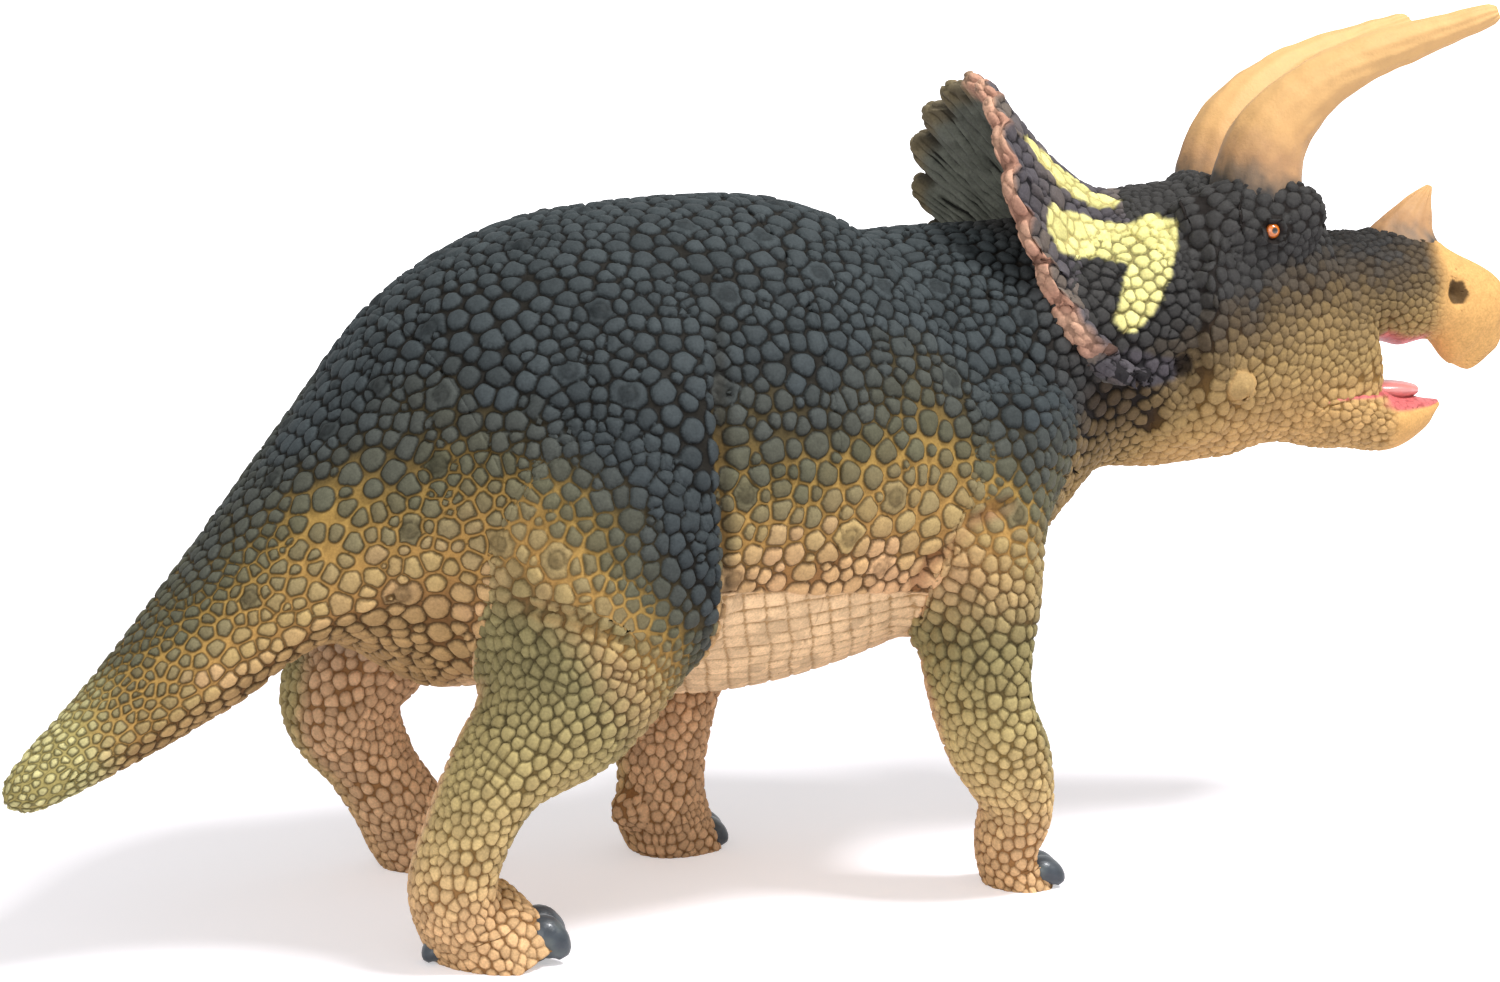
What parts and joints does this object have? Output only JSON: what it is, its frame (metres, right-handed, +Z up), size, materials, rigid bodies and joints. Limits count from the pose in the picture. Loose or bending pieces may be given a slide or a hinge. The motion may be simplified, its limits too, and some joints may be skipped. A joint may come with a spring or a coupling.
{
  "type": "toy horned dinosaur figure",
  "caption": "Standing horned dinosaur toy in painted vinyl: hollow scaly body with tail, plug-in legs, and a frilled head with an open beak, tongue, nose horn and long brow horns.",
  "frame": {"origin": "on the ground under the middle of the figure's overall box", "axes": "+X towards the head, +Y to the animal's left, +Z up; the soles stand on z = 0"},
  "size_m": [0.1988, 0.0678, 0.1055],
  "materials": {
    "body_skin": "satin vinyl with scales, painted from slate grey on the back to cream on the belly",
    "leg_skin": "satin vinyl with scales, painted from olive to cream with brown in the creases",
    "head_skin": "satin vinyl with small scales, painted from charcoal to ochre with pale blotches on the frill",
    "horn": "satin vinyl, apricot with a darker speckled base",
    "tongue": "glossy pink paint"
  },
  "bodies": {
    "root": {"torso": "body_skin", "leg_hind_right": "leg_skin", "leg_hind_left": "leg_skin", "leg_front_right": "leg_skin", "leg_front_left": "leg_skin", "head": "head_skin", "lower_jaw": "head_skin", "tongue": "tongue", "brow_horn_right": "horn", "brow_horn_left": "horn"}
  },
  "joints": []
}
